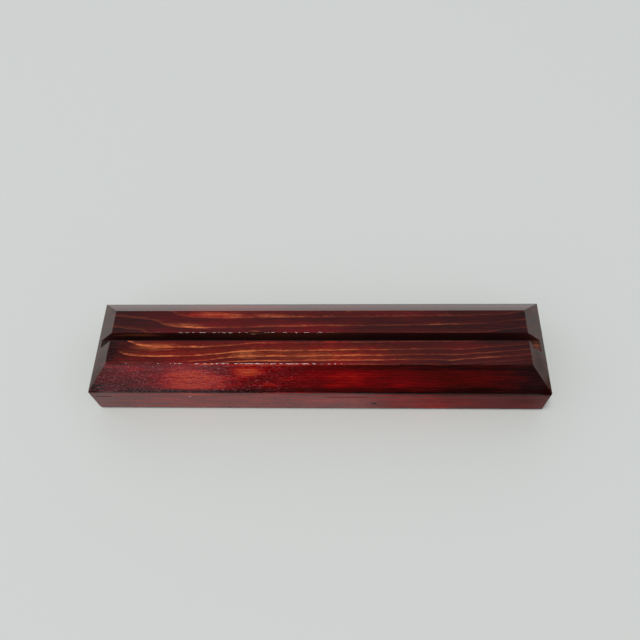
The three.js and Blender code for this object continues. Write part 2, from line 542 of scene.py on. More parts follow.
# Where the lacquer was brushed out thinner, and so mirrors less: centre and reach in mm, and change
THIN_LACQUER = (
    ((-20, -28, 12), (260, 3, 40), -0.12),
    ((0, -28, 22), (220, 3, 5), -0.16),
    ((50, -28, 12), (34, 3, 60), -0.42),
    ((90, -28, 12), (42, 3, 60), -0.56),
    ((126, -28, 12), (30, 3, 60), -0.42),
    ((-60, -9.5, 34.25), (160, 11, 1.5), -0.5),
    ((0, 19.5, 31.5), (400, 6, 6), -0.16),
    ((119, -14, 28), (14, 13, 14), -0.3),
    ((124, -25, 24), (8, 9, 7), -0.55),
    ((-119, -16, 28), (14, 14, 14), -0.15),
    ((-95, -23, 28), (60, 10, 10), -0.3),
    ((-122, -27, 23), (7, 4, 4), -0.4),
)
# How much of the film's waviness comes from the fibres under it, and how high its waves are in mm on
# the planed top face and on the sawn faces
FIBRE_WAVES = 0.3
FILM_WAVES_MM = (0.02, 0.03)


def lacquer(tree, shader, figure, coat_weight, coat_roughness):
    """A brushed clear lacquer: a glossy film that lies a little wavy over the fibres. The wood under
    it is wetted by the film, so it has no gloss of its own."""
    brushing = grain_pattern(tree, figure["place"], BRUSHING)
    height = add_node(tree, "Math", {0: figure["fibre"], 1: FIBRE_WAVES, 2: brushing},
                      operation="MULTIPLY_ADD")
    depth = add_node(tree, "MapRange", {
        "Value": figure["below_top"], **limits((0.0, 1.0), [waves * MM for waves in FILM_WAVES_MM])})
    film = add_node(tree, "Bump", {"Height": height, "Strength": 1.0, "Distance": depth})
    set_inputs(shader, {
        "Roughness": 0.6, "Specular IOR Level": 0.0, "Normal": film, "Coat Normal": film, "Coat IOR": 1.5,
        "Coat Roughness": coat_roughness,
        "Coat Weight": add_patches(tree, figure, THIN_LACQUER, coat_weight, SOFT_PATCH_WAVER)})


# Patches of the top board where more stain was wiped off, or less, one of them partly a painted
# highlight: centre and reach in mm, and change
TOP_BOARD_PATCHES = (
    ((-70, -23, 27.5), (24, 12, 12), 0.32),
    ((-48, -23.5, 27), (18, 9, 9), 0.16),
    ((-37, -19.7, 31), (13, 4.5, 5), 0.36),
    ((15, -22, 28.5), (60, 5, 5), 0.06),
    ((9, -25.2, 25), (10, 2.4, 2.4), 0.16),
    ((44, -25, 25), (8, 2, 2), 0.18),
    ((54, -22, 28), (34, 12, 9), -0.13),
    ((-88, -6, 34), (20, 7, 4), 0.1),
    ((4, -11, 34), (72, 9, 3), 0.06),
    ((-62, 14, 34), (20, 2.6, 3), 0.22),
    ((-42, 13, 34), (30, 3.6, 3), 0.16),
    ((24, 10, 34), (66, 8, 4), -0.07),
    ((-106, 3.6, 34), (5, 1.4, 2), 0.14),
    ((-121, -26.5, 24), (8, 4, 4), -0.35),
    ((-112, -23, 27), (36, 12, 12), -0.14),
    ((-112, 9, 34), (30, 14, 4), -0.24),
    ((-114, -10, 34), (18, 9, 3), -0.26),
    ((-113, -9, 34.2), (5, 9, 1), -0.3),
    ((114, -22, 28), (28, 12, 12), -0.26),
    ((122, -23, 27), (24, 13, 13), -0.32),
    ((94, 9, 34), (60, 14, 4), -0.12),
    ((114, 0, 34), (36, 24, 3), -0.14),
    ((-20, -28, 19.5), (150, 2, 5), 0.16),
    ((96, -28, 19.5), (60, 2, 5), 0.16),
    # Paler along the top-front arris: partly wear that thinned the stain, partly a painted highlight that
    # widens and reddens the arris's glint
    ((-40, -16.7, 34.0), (76, 0.9, 0.9), 0.32),
    ((-16, -27.9, 22.3), (48, 0.8, 0.8), 0.5),
    ((-68, -27.4, 22.9), (56, 1.5, 1.5), -0.6),
    ((0, 22.5, 28), (500, 7, 8), 0.1),
    ((62, -11, 34), (16, 9, 3), -0.07),
    ((90, -26, 24), (30, 5, 5), -0.12),
)
# Where the plane ran along a ring's latewood, so that its amber spreads, and a painted glint along the
# upper rim of a chip: centre and reach in mm, and how much of the amber shows
TOP_BOARD_FLAMES_AND_GLINT = (
    ((-60, 14.6, 34), (12, 1.9, 3), 0.27),
    ((-46, 13.6, 34), (10, 1.6, 3), 0.25),
    ((-24, 13.2, 34), (14, 1.5, 3), 0.28),
    ((-74, 7.6, 34), (12, 1.6, 3), 0.25),
    ((-88, -6.4, 34), (16, 3.4, 3), 0.3),
    ((-38, -10.6, 34), (10, 3.6, 3), 0.34),
    ((-2, -11.5, 34), (36, 4.5, 3), 0.11),
    ((-20, -9.5, 34), (120, 8, 3), 0.05),
    ((-37, -19.7, 31), (8, 2.2, 2.6), 0.1),
    # A painted glint: pale amber that carries the arris's glint on along the chip's upper rim
    ((-34, 3.4, 34.2), (4.6, 0.6, 0.8), 0.45),
)
# Where the top board's ring lines show more of their amber than elsewhere, or less: centre and reach in
# mm, and change
TOP_BOARD_LINES = (
    ((-49, 14.5, 34), (29, 5, 4), 0.6),
    ((-18, 13, 34), (30, 4, 4), 0.2),
    ((-69, 7.5, 34), (17, 4, 4), 0.95),
    ((-8, 7.5, 34), (42, 3, 4), 0.25),
    ((65, 7, 34), (14, 3, 4), 0.2),
    ((-89, -3.8, 34), (26, 4, 4), 1.25),
    ((-59, -3.5, 34), (14, 2.5, 4), 0.45),
    ((-87, -9, 34), (26, 5, 4), 1.1),
    ((-34, -10.5, 34), (40, 8, 4), 0.95),
    ((-68, -8.5, 34), (14, 6, 4), 0.5),
    ((12, -11, 34), (46, 8, 4), 0.66),
    ((85, -12, 34), (24, 6, 4), 0.2),
    ((-112, -8, 34), (9, 10, 4), -0.5),
    ((98, 9, 34), (26, 12, 4), -0.06),
    ((20, 9, 34), (22, 7, 4), -0.05),
)
LINE_FLOOR = 0.1
# The dark ring round the plinth's pin knot, and two stretches of the front face that were wiped paler
PLINTH_PATCHES = (
    ((31.3, -28, 8.2), (2.6, 3, 1.6), -0.5),
    ((-20, -28, 9), (150, 4, 30), 0.16),
    ((96, -28, 9), (60, 4, 30), 0.16),
)
# The wood is darker in bands where the bevel starts and where it ends: distance out from the middle and
# height of that place, how far it reaches, how much darker it gets, and where along the bar that sets in,
# in mm
DARK_EDGE_BANDS = (
    ((17.8, 32.9), 2.4, 0.26, (-20, 30)),
    ((27.2, 23.0), 3.6, 0.3, (-62, -35)),
    ((27.9, 22.3), 1.0, 0.25, (-160, -150)),
    ((28.0, 20.8), 2.4, 0.14, (20, 60)),
)
DARK_BAND_CORE = 0.2
# Where the wiping left streaks: centre and reach in mm, and how much they add to the tone's range
WIPING_STREAKS = (
    ((-50, -23, 28), (64, 13, 6), 0.17),
    ((4, -9, 34), (84, 16, 5), 0.09),
)
STREAK_FLOOR = 0.09
# What makes the earlywood's tone: the blotches of stain, the pores as a share of the streaks, the
# season, the sawn faces, which drank less, and what is left of it where nothing was wiped off
BLOTCH_TONES = (0.24, 0.48)
PORE_STREAKS = (-0.65, 0.65)
SEASON_TONES = (-0.05, 0.07)
SAWN_FACE_TONE = 0.07
UNWIPED_TONE = 0.5


def ground_tone(tree, figure, patches):
    """How pale the earlywood is, from 0 for full stain to 1 for none. Towards the right end it is also
    darkened by painted shade.
    """
    streak_reach = add_patches(tree, figure, WIPING_STREAKS, STREAK_FLOOR, SOFT_PATCH_WAVER)
    centred = add_node(tree, "MapRange", {"Value": figure["fibre"], **limits(PATTERN_RANGE, (-1.0, 1.0))})
    streaks = add_node(tree, "Math", {0: centred, 1: streak_reach}, operation="MULTIPLY")
    blotches = add_node(tree, "MapRange", {
        "Value": figure["stain"], **limits(PATTERN_RANGE, BLOTCH_TONES)})
    tone = add_node(tree, "Math", {0: streaks, 1: blotches}, operation="ADD")
    pores = add_node(tree, "MapRange", {"Value": figure["pores"], **limits(PATTERN_RANGE, PORE_STREAKS)})
    tone = add_node(tree, "Math", {0: pores, 1: streak_reach, 2: tone}, operation="MULTIPLY_ADD")
    ripening = add_node(tree, "MapRange", {"Value": figure["season"], **limits((0.0, 1.0), SEASON_TONES)})
    tone = add_node(tree, "Math", {0: tone, 1: ripening}, operation="ADD")
    tone = add_node(tree, "Math", {0: figure["below_top"], 1: SAWN_FACE_TONE, 2: tone},
                    operation="MULTIPLY_ADD")
    tone = add_patches(tree, figure, patches, tone)
    out = add_node(tree, "Math", {0: figure["Y"]}, operation="ABSOLUTE")
    across = add_node(tree, "CombineXYZ", {"Y": out, "Z": figure["Z"]})
    for centre, reach, change, setting_in in DARK_EDGE_BANDS:
        apart = add_node(tree, "VectorMath", {0: across, 1: (0, *centre)}, operation="DISTANCE")
        depth = add_node(tree, "MapRange", {"Value": figure["X"], **limits(setting_in, (0.0, change))})
        edge_band = add_node(tree, "MapRange", {
            "Value": apart, **limits((DARK_BAND_CORE * reach, reach), (depth, 0.0))},
            interpolation_type="SMOOTHSTEP")
        tone = add_node(tree, "Math", {0: tone, 1: edge_band}, operation="SUBTRACT")
    wiped_from = curve_along_bar(tree, figure, WIPED_FROM, WIPED_FROM_SLANT, 1.0)
    # Its fall towards the right end also paints the shadow over the bar's right part as darker wood
    wiped_to_and_shade = curve_along_bar(tree, figure, WIPED_TO_AND_SHADE, WIPED_TO_AND_SHADE_SLANT, 1.0)
    wiped = add_node(tree, "Math", {0: wiped_from, 1: wiped_to_and_shade}, operation="MULTIPLY")
    wiping = add_node(tree, "MapRange", {"Value": wiped, **limits((0.0, 1.0), (UNWIPED_TONE, 1.0))})
    return add_node(tree, "Math", {0: tone, 1: wiping}, operation="MULTIPLY", use_clamp=True)


# Pores thin the amber out or thicken it. Lines show in full on the planed top face and little on the
# sawn faces. Wood turns amber towards the end of its year by a small share.
AMBER_PORES = ((0.35, 0.65), (0.6, 1.4))
SAWN_FACE_LINES = 0.15
RIPENING_POWER = 3.0
RIPENING_AMBER = 0.14


def latewood_amber(tree, figure, line_patches, flames_and_glint):
    """How much of the latewood's amber shows, with the pale amber of a painted glint along a chip's rim.
    """
    amount = add_patches(tree, figure, line_patches, LINE_FLOOR)
    pores = add_node(tree, "MapRange", {"Value": figure["pores"], **limits(*AMBER_PORES)})
    flecked = add_node(tree, "Math", {0: amount, 1: pores}, operation="MULTIPLY")
    in_plane = add_node(tree, "MapRange", {
        "Value": figure["below_top"], **limits((0.0, 1.0), (1.0, SAWN_FACE_LINES))})
    shown = add_node(tree, "Math", {0: flecked, 1: in_plane}, operation="MULTIPLY")
    late_summer = add_node(tree, "Math", {0: figure["season"], 1: RIPENING_POWER}, operation="POWER")
    ripe = add_node(tree, "Math", {0: late_summer, 1: RIPENING_AMBER, 2: figure["line"]},
                    operation="MULTIPLY_ADD")
    lines = add_node(tree, "Math", {0: ripe, 1: shown}, operation="MULTIPLY")
    spread = add_patches(tree, figure, flames_and_glint, 0.0)
    flecked_spread_and_glint = add_node(tree, "Math", {0: spread, 1: pores}, operation="MULTIPLY")
    return add_node(tree, "Math", {0: lines, 1: flecked_spread_and_glint}, operation="ADD", use_clamp=True)


# Dust and painted glints of light are thickest at the left end of the front bevel: what of them is left
# along, across and up the bar in mm, and off the top face
DUST_AND_GLINTS_ALONG = ((-45.0, 12.0), (1.0, 0.03))
DUST_AND_GLINTS_ACROSS = ((4.0, -17.0), (0.15, 1.0))
DUST_AND_GLINTS_UP = ((21.0, 22.5), (0.2, 1.0))
DUST_AND_GLINTS_OFF_TOP = ((0.0, 1.0), (0.35, 1.0))
# How a speck fades out from its middle, which cells have one against the share of dust and glints, and
# how nibs show against their pattern
SPECK_FADES = ((0.12, 0.32), (0.5, 0.0))
SPECK_DRAWN_OVER = ((0.36, 1.0), (1.0, 0.74))
NIB_GLINTS_SHOW = ((0.48, 0.72), (0.0, 0.18))


def lacquer_dust_and_glints(tree, figure):
    """How much dust and painted glint shows in the lacquer: single specks, and fine nibs between them.
    Their pale colour is partly real dust and partly painted glints of the lamp and the room.
    """
    share = add_node(tree, "MapRange", {"Value": figure["X"], **limits(*DUST_AND_GLINTS_ALONG)},
                     interpolation_type="SMOOTHSTEP")
    for value, thinning in (("Y", DUST_AND_GLINTS_ACROSS), ("Z", DUST_AND_GLINTS_UP), ("below_top", DUST_AND_GLINTS_OFF_TOP)):
        left = add_node(tree, "MapRange", {"Value": figure[value], **limits(*thinning)})
        share = add_node(tree, "Math", {0: share, 1: left}, operation="MULTIPLY")
    cells = add_node(tree, "TexVoronoi", {"Vector": figure["place"], "Scale": 1 / SPECK_SPACING_MM})
    speck = add_node(tree, "MapRange", {"Value": cells.outputs["Distance"], **limits(*SPECK_FADES)})
    draw = add_node(tree, "SeparateXYZ", {0: cells.outputs["Color"]})
    drawn_over = add_node(tree, "MapRange", {"Value": share, **limits(*SPECK_DRAWN_OVER)})
    chosen = add_node(tree, "Math", {0: draw.outputs["X"], 1: drawn_over}, operation="GREATER_THAN")
    specks = add_node(tree, "Math", {0: speck, 1: chosen}, operation="MULTIPLY")
    nib_glint_pattern = grain_pattern(tree, figure["place"], NIBS_AND_GLINTS)
    nibs = add_node(tree, "MapRange", {"Value": nib_glint_pattern, **limits(*NIB_GLINTS_SHOW)})
    nib_glint_share = add_node(tree, "Math", {0: nibs, 1: share}, operation="MULTIPLY")
    return add_node(tree, "Math", {0: specks, 1: nib_glint_share}, operation="ADD", use_clamp=True)


def lacquered_pine(name, settings, pith, seed, patches, line_patches, flames_and_glint):
    """Pine planed flat-sawn, wiped with mahogany stain and brushed with clear gloss lacquer. The soft
    earlywood drinks the stain and goes deep red; the hard latewood lines stay amber."""
    material, tree, shader = new_material(name)
    figure = pine_figure(tree, pith, seed)
    tone = ground_tone(tree, figure, patches)
    ground = add_node(tree, "ValToRGB", {"Fac": tone}, stops=(
        (0.0, settings.deep_stain), (0.28, settings.full_stain), (0.5, settings.clear_stain),
        (0.63, settings.bright_stain), (1.0, settings.thin_stain)))
    amber = latewood_amber(tree, figure, line_patches, flames_and_glint)
    ringed = add_node(tree, "Mix", {"Factor": amber, "A": ground, "B": settings.latewood},
                      data_type="RGBA")
    # Pale specks and nibs: partly real dust, partly painted glints of light
    dust = lacquer_dust_and_glints(tree, figure)
    colour = add_node(tree, "Mix", {"Factor": dust, "A": ringed, "B": settings.dust}, data_type="RGBA")
    set_inputs(shader, {"Base Color": colour})
    lacquer(tree, shader, figure, coat_weight=0.95, coat_roughness=0.09)
    return material


# On end grain the blotches of stain make this range of shades, and the ring lines show this much
END_GRAIN_SHADES = (0.5, 1.5)
END_GRAIN_LINES = 0.07


def lacquered_end_grain(name, settings, pith, seed):
    """The same pine cut across its fibres. Open pores soak up stain and lacquer, so it is almost
    black-brown and its gloss is duller."""
    material, tree, shader = new_material(name)
    figure = pine_figure(tree, pith, seed)
    shades = add_node(tree, "MapRange", {
        "Value": figure["stain"], **limits(PATTERN_RANGE, END_GRAIN_SHADES)})
    ground = add_node(tree, "Mix", {"Factor": 1.0, "A": settings.end_grain, "B": shades},
                      data_type="RGBA", blend_type="MULTIPLY")
    amount = add_node(tree, "Math", {0: figure["line"], 1: END_GRAIN_LINES}, operation="MULTIPLY")
    colour = add_node(tree, "Mix", {"Factor": amount, "A": ground, "B": settings.thin_stain},
                      data_type="RGBA")
    set_inputs(shader, {"Base Color": colour})
    lacquer(tree, shader, figure, coat_weight=0.75, coat_roughness=0.2)
    return material


# Where pale fibre shows on the slot's faces: centre and reach in mm, and change
SLOT_LINES = (
    ((-98, 2.5, 31.6), (17, 1, 2.4), 0.8),
    ((-20, 2.5, 31), (60, 1, 6), 0.2),
    ((118, -1.8, 26), (7, 2.6, 3), 0.9),
    ((119.5, 0.3, 25.6), (4, 3, 1.5), 0.16),
)
SLOT_LINE_FLOOR = 0.02


def sawn_slot_pine(name, settings, redness, gloss):
    """Saw-cut faces inside the slot, stained but hardly lacquered: dull and nearly black."""
    material, tree, shader = new_material(name)
    grain = pine_grain(tree, TOP_BOARD_SEED)
    red_fibre = add_node(tree, "Math", {0: grain["fibre"], 1: redness}, operation="MULTIPLY")
    ground = add_node(tree, "Mix", {
        "Factor": red_fibre, "A": settings.deep_stain, "B": settings.full_stain}, data_type="RGBA")
    strength = add_patches(tree, grain, SLOT_LINES, SLOT_LINE_FLOOR)
    amount = add_node(tree, "Math", {0: grain["pores"], 1: strength}, operation="MULTIPLY")
    colour = add_node(tree, "Mix", {"Factor": amount, "A": ground, "B": settings.latewood},
                      data_type="RGBA")
    set_inputs(shader, {"Base Color": colour, "Roughness": 0.55, "Specular IOR Level": gloss})
    return material


# How much of the ring lines shows on the underside, the pitch of the planer's ripples and the depth of
# its relief in mm, and the ripples' share of that relief
UNDERSIDE_LINES = 0.35
PLANER_PITCH_MM = 2.4
PLANER_RELIEF_MM = 0.05
PLANER_SHARE = 0.3


def planed_underside_pine(settings, pith, seed):
    """Pine as the planer left it, with one wipe of stain and no lacquer: dull, with the knives' even
    ripples across the fibres."""
    material, tree, shader = new_material("planed_underside_pine")
    figure = pine_figure(tree, pith, seed)
    tone = add_node(tree, "Mix", {"Factor": 0.5, "A": figure["fibre"], "B": figure["stain"]},
                    data_type="FLOAT")
    ground = add_node(tree, "ValToRGB", {"Fac": tone}, stops=(
        (0.3, settings.deep_stain), (0.55, settings.full_stain), (0.75, settings.clear_stain)))
    amount = add_node(tree, "Math", {0: figure["line"], 1: UNDERSIDE_LINES}, operation="MULTIPLY")
    colour = add_node(tree, "Mix", {"Factor": amount, "A": ground, "B": settings.latewood},
                      data_type="RGBA")
    turns = add_node(tree, "Math", {0: figure["X"], 1: math.tau / PLANER_PITCH_MM}, operation="MULTIPLY")
    ripple = add_node(tree, "Math", {0: turns}, operation="SINE")
    height = add_node(tree, "Math", {0: ripple, 1: PLANER_SHARE, 2: figure["fibre"]},
                      operation="MULTIPLY_ADD")
    relief = add_node(tree, "Bump", {"Height": height, "Strength": 1.0, "Distance": PLANER_RELIEF_MM * MM})
    set_inputs(shader, {
        "Base Color": colour, "Roughness": 0.65, "Specular IOR Level": 0.3, "Normal": relief})
    return material


# Which of the fibre pattern's values are splinters, and how far those stand out in mm
SPLINTER_RANGE = (0.35, 0.6)
SPLINTER_RELIEF_MM = 0.1


def torn_pine_fibre(settings):
    """Splintered pine where an edge tore after staining: pale brown fibres with dark gaps, and dull."""
    material, tree, shader = new_material("torn_pine_fibre")
    grain = pine_grain(tree, TOP_BOARD_SEED)
    splinters = add_node(tree, "MapRange", {"Value": grain["fibre"], **limits(SPLINTER_RANGE)})
    colour = add_node(tree, "Mix", {
        "Factor": splinters, "A": settings.deep_stain, "B": settings.bare_fibre}, data_type="RGBA")
    relief = add_node(tree, "Bump", {
        "Height": splinters, "Strength": 1.0, "Distance": SPLINTER_RELIEF_MM * MM})
    set_inputs(shader, {
        "Base Color": colour, "Roughness": 0.7, "Specular IOR Level": 0.15, "Normal": relief})
    return material


# Mottled materials: the size of their clouds in mm, layers of detail and how rough those are
BARK_FLAKES = (0.3, 2.0, 0.5)
GLUE_CLOTS = (1.5, 3.0, 0.5)
BEAD_CLOUDS = (0.6, 2.0, 0.5)
RUBBER_DUST = (2.5, 4.0, 0.65)


def mottle(tree, pattern, *stops):
    """Clouds on the piece's own coordinates, and the colours that the stops give them."""
    size, detail, roughness = pattern
    coordinates = add_node(tree, "TexCoord")
    clouds = add_node(tree, "TexNoise", {
        "Vector": coordinates.outputs["Object"], "Scale": 1 / (size * MM), "Detail": detail,
        "Roughness": roughness})
    return clouds, add_node(tree, "ValToRGB", {"Fac": clouds}, stops=stops)


def pin_knot_bark(settings):
    """The loose bark and resin in a pin knot's hole: nearly black and dull."""
    material, tree, shader = new_material("pin_knot_bark")
    _, colour = mottle(tree, BARK_FLAKES, (0.4, settings.knot_bark), (0.7, settings.deep_stain))
    set_inputs(shader, {"Base Color": colour, "Roughness": 0.75})
    return material


# The grain of the unevenness that sanding by hand leaves along an arris, and that of torn wood, with
# the depth of the tearing
SANDING_GRAIN = 1.3 * MM
TEARING_GRAIN = 1.2 * MM
TEARING_DEPTH = 0.5 * MM
# Chips along the slot: centre and half sizes (along, across, deep) in mm, and slope along the bar
CHIPS = (
    ((-35.2, 2.5, 34.0), (2.3, 0.8, 2.0), 0.0),
    ((-31.4, 2.5, 34.2), (2.8, 0.6, 1.1), 0.0),
    ((117.2, -3.6, 30.7), (3.8, 2.3, 0.9), 46.0),
    ((120.8, -3.3, 26.9), (2.4, 1.7, 0.9), 46.0),
)
# The plinth's pin knot: the hole's centre and half sizes in mm
PIN_KNOT = ((31.3, -28.0, 8.2), (1.15, 0.8, 0.5))
# Stretches of the front, in mm along the bar, where the joint stands a little open
OPEN_JOINTS = ((-122.0, -113.5), (5.5, 27.5))
OPEN_JOINT_DEPTH = 1.5 * MM
# How far behind the front a joint edge may lie, and how far the saw for the slot runs past the board
FRONT_REACH = 1 * MM
SAW_OVERRUN = 10 * MM
# Easing moves the slot's faces by less than this
SLOT_EASING = 0.1 * MM


def cad_corners(node):
    """The corners of a CAD node's mesh."""
    return [vertex.co.copy() for vertex in frame["nodes"][node].data.vertices]


def mount_place(name):
    """The place of one of the record's mounts."""
    return Vector(next(m["pos_m"] for m in frame["record"]["mounts"] if m["name"] == name))


def bevel_top(board, corners, high):
    """Saws the bevels off a board's four upper edges, as deep and wide as the CAD board's are."""
    flat = [c for c in corners if c.z > high.z - LEVEL_TOLERANCE]
    run_x = high.x - max(c.x for c in flat)
    run_y = high.y - max(c.y for c in flat)
    foot = max(c.z for c in corners if c.y > high.y - LEVEL_TOLERANCE)
    drop = high.z - foot
    with editing(board):
        for side in (-1, 1):
            cut((side * high.x, 0, foot), (side * drop, 0, run_x), keep_all=False)
            cut((0, side * high.y, foot), (0, side * drop, run_y), keep_all=False)


def saw_slot(board, low, high, slot_side, slot_floor):
    """Saws the slot from end to end."""
    saw = add_block("slot_saw", Vector((low.x - SAW_OVERRUN, -slot_side, slot_floor)),
                    Vector((high.x + SAW_OVERRUN, slot_side, high.z + SAW_OVERRUN)))
    subtract(board, saw)


def ease_arrises(board, test, ease, wander):
    """Rounds the arrises that pass the test and makes the rounding as uneven as sanding by hand."""
    with editing(board):
        select_edges(board, lambda edge: is_arris(edge) and test(edge))
        bpy.ops.mesh.bevel(
            offset=ease, offset_type="OFFSET", segments=2, profile=0.5, clamp_overlap=False)
        select_points(board, is_inside)
        bpy.ops.object.vertex_group_assign_new()
    roughen(board, board.name + "_sanding", SANDING_GRAIN, wander, group=board.vertex_groups[-1].name)


def is_open_stretch(x):
    """True for a place along the bar where the glue joint stands open."""
    return any(start < x / MM < end for start, end in OPEN_JOINTS)


def open_joint(board, front, height, opening):
    """Rounds the front joint edge away along the stretches where the joint stands open."""

    def is_open(edge):
        at_joint = all(abs(v.co.z - height) < LEVEL_TOLERANCE and v.co.y < front + FRONT_REACH
                       for v in edge.verts)
        return at_joint and is_open_stretch((edge.verts[0].co.x + edge.verts[1].co.x) / 2)

    with editing(board):
        select_edges(board, is_open)
        bpy.ops.mesh.bevel(offset=opening, segments=2, profile=0.5)


def finish_faces(board, materials, choose):
    """Gives a board its materials, and each face the one that the choice names."""
    board.data.materials.clear()
    for material in materials.values():
        board.data.materials.append(material)
    names = list(materials)
    for face in board.data.polygons:
        face.material_index = names.index(choose(face.normal, face.center))


def chip_edge(board, chip, fibre):
    """Breaks a splinter out of a board and leaves torn fibre behind."""
    splinter = add_lump(*chip)
    roughen(splinter, "tearing", TEARING_GRAIN, TEARING_DEPTH)
    splinter.data.materials.append(fibre)
    subtract(board, splinter)


def smooth_arrises(board, ease):
    """Smooths along the arris flats and leaves the planed and sawn faces flat."""
    make_active(board)
    bpy.ops.object.shade_smooth_by_angle(angle=FACET_ANGLE)
    corners = board.data.vertices
    for face in board.data.polygons:
        if min((corners[i].co - face.center).length for i in face.vertices) > FACET_REACH * ease:
            face.use_smooth = False


class OBJECT_OT_display_base_top_board(bpy.types.Operator):
    """Builds the upper board with its four bevels and the slot along its top"""

    bl_idname = "object.display_base_top_board"
    bl_label = "Slotted top board"

    def execute(self, context):
        settings = context.scene.display_base.boards
        node = "slotted_top_board"
        low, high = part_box(node)
        slot_floor = mount_place("slot_floor").z
        slot_side = mount_place("slot_rear_wall").y
        board = add_block(node + "_dressed", low, high)
        bevel_top(board, cad_corners(node), high)
        saw_slot(board, low, high, slot_side, slot_floor)
        with editing(board):
            cut_stations(low, high, settings.station_pitch)

        joint = low.z + LEVEL_TOLERANCE
        slot_reach = slot_side + LEVEL_TOLERANCE
        ease_arrises(
            board,
            lambda edge: max(v.co.z for v in edge.verts) > joint
            and max(abs(v.co.y) for v in edge.verts) > slot_reach,
            settings.arris_ease, settings.arris_wander)
        ease_arrises(
            board,
            lambda edge: max(abs(v.co.y) for v in edge.verts) < slot_reach,
            settings.slot_ease, settings.slot_wander)
        open_joint(board, low.y, low.z, settings.joint_opening)

        def choose(normal, centre):
            if normal.z > LOOKS_THAT_WAY and centre.z < slot_floor + SLOT_EASING:
                return "slot floor"
            if abs(normal.y) > LOOKS_THAT_WAY and abs(centre.y) < slot_side + SLOT_EASING:
                return "slot walls"
            return "end grain" if abs(normal.x) > ACROSS_FIBRES else "long grain"

        wood = (settings, TOP_BOARD_PITH, TOP_BOARD_SEED)
        finish_faces(board, {
            "long grain": lacquered_pine("mahogany_stained_pine", *wood, TOP_BOARD_PATCHES,
                                         TOP_BOARD_LINES, TOP_BOARD_FLAMES_AND_GLINT),
            "end grain": lacquered_end_grain("stained_pine_end_grain", *wood),
            "slot walls": sawn_slot_pine("sawn_slot_walls", settings, redness=1.0, gloss=0.45),
            "slot floor": sawn_slot_pine("sawn_slot_floor", settings, redness=0.0, gloss=0.25),
        }, choose)
        fibre = torn_pine_fibre(settings)
        for chip in CHIPS:
            chip_edge(board, chip, fibre)
        smooth_arrises(board, settings.arris_ease)
        finish_piece(board, node)
        return {"FINISHED"}


class OBJECT_OT_display_base_plinth_board(bpy.types.Operator):
    """Builds the lower board"""

    bl_idname = "object.display_base_plinth_board"
    bl_label = "Plinth board"

    def execute(self, context):
        settings = context.scene.display_base.boards
        node = "plinth_board"
        low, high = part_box(node)
        board = add_block(node + "_dressed", low, high)
        with editing(board):
            cut_stations(low, high, settings.station_pitch)
        joint = high.z - LEVEL_TOLERANCE
        ease_arrises(
            board, lambda edge: min(v.co.z for v in edge.verts) < joint,
            settings.arris_ease, settings.arris_wander)
        open_joint(board, low.y, high.z, settings.joint_opening)

        def choose(normal, centre):
            if normal.z < -LOOKS_THAT_WAY:
                return "underside"
            return "end grain" if abs(normal.x) > ACROSS_FIBRES else "long grain"

        wood = (settings, PLINTH_PITH, PLINTH_SEED)
        finish_faces(board, {
            "long grain": lacquered_pine("mahogany_stained_pine_plinth", *wood, PLINTH_PATCHES, (), ()),
            "end grain": lacquered_end_grain("stained_pine_plinth_end_grain", *wood),
            "underside": planed_underside_pine(*wood),
        }, choose)
        chip_edge(board, PIN_KNOT, pin_knot_bark(settings))
        smooth_arrises(board, settings.arris_ease)
        finish_piece(board, node)
        return {"FINISHED"}


GLUE_IOR = 1.48
GLUE_RELIEF_MM = 0.05
# How unevenly the glue shrank as it cured, and the grain of that
SHRINKAGE_GRAIN = 5 * MM
SHRINKAGE_DEPTH = 0.06 * MM
# A bead of glue that was left on the front: its centre and half sizes in mm, and its unevenness
GLUE_BEAD = ((-69.7, -28.0, 17.3), (0.65, 0.2, 0.38))
CURDLING_GRAIN = 0.6 * MM
CURDLING_DEPTH = 0.25 * MM


def cured_glue(settings):
    """White wood glue that cured clear and amber and was stained over: brown, waxy and half dull."""
    material, tree, shader = new_material("stained_over_wood_glue")
    clots, colour = mottle(tree, GLUE_CLOTS, (0.3, settings.deep_stain), (0.7, settings.glue))
    relief = add_node(tree, "Bump", {"Height": clots, "Strength": 1.0, "Distance": GLUE_RELIEF_MM * MM})
    set_inputs(shader, {"Base Color": colour, "Roughness": 0.4, "IOR": GLUE_IOR, "Normal": relief})
    return material


def milky_glue(settings):
    """A bead of the same glue that squeezed out after the staining: milky and half clear."""
    material, tree, shader = new_material("milky_wood_glue")
    _, colour = mottle(tree, BEAD_CLOUDS, (0.3, settings.dust), (0.7, settings.bead))
    set_inputs(shader, {"Base Color": colour, "Roughness": 0.35, "IOR": GLUE_IOR})
    return material


class OBJECT_OT_display_base_glue_line(bpy.types.Operator):
    """Builds the film of glue between the boards, with its hollows and a bead that squeezed out"""

    bl_idname = "object.display_base_glue_line"
    bl_label = "Glue line"

    def execute(self, context):
        settings = context.scene.display_base.boards
        node = "glue_line"
        low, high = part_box(node)
        film = add_block(node + "_dressed", low, high)
        with editing(film):
            cut_stations(low, high, settings.station_pitch)
            select_points(film, lambda vertex: vertex.co.y < 0 and is_open_stretch(vertex.co.x))
            bpy.ops.transform.translate(value=(0, OPEN_JOINT_DEPTH, 0))
        roughen(film, "glue_shrinkage", SHRINKAGE_GRAIN, SHRINKAGE_DEPTH, ("X", "Y"))
        film.data.materials.append(cured_glue(settings))

        bead = add_lump(*GLUE_BEAD)
        roughen(bead, "glue_curdling", CURDLING_GRAIN, CURDLING_DEPTH)
        bead.data.materials.append(milky_glue(settings))
        make_active(film)
        bead.select_set(True)
        bpy.ops.object.join()
        smooth_rims(film)
        finish_piece(film, node)
        return {"FINISHED"}


CORNERS = ("front_left", "front_right", "rear_left", "rear_right")
# How far each copy is turned from the first. The feet are alike, and no two adhesive discs are.
FOOT_TURNS = (0.0, 0.0, 0.0)
DISC_TURNS = (80.0, 170.0, 290.0)
